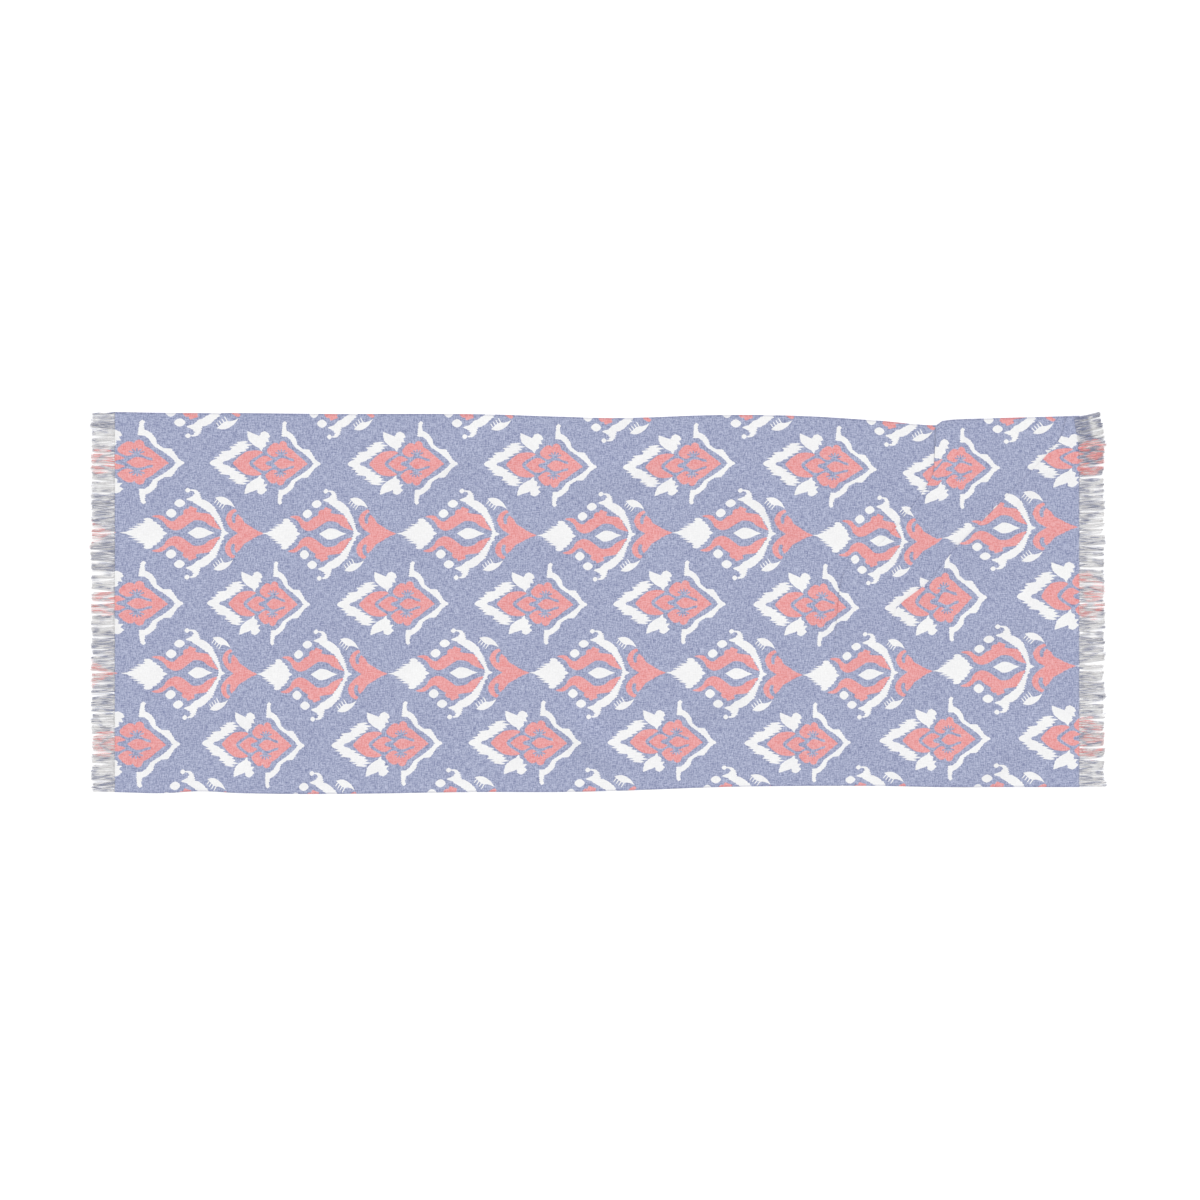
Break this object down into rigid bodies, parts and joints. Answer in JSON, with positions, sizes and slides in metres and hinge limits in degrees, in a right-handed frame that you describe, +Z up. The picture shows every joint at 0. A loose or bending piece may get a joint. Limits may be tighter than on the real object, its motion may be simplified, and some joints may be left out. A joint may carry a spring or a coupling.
{
  "type": "ikat scarf",
  "caption": "Long light scarf laid flat, with an all-over ikat print of lozenges and medallions, two soft tucks, and a frayed fringe at both short ends.",
  "frame": {"origin": "on the surface it lies on, under the middle of the whole scarf", "axes": "+X along the scarf's length, +Y across it, +Z up"},
  "size_m": [1.8296, 0.688, 0.0054],
  "materials": {
    "printed_cloth": "matt light plain weave, printed periwinkle, coral and white",
    "fringe_thread": "matt loose thread"
  },
  "bodies": {
    "root": {"cloth": "printed_cloth", "fringe_left": "fringe_thread", "fringe_right": "fringe_thread"}
  },
  "joints": []
}
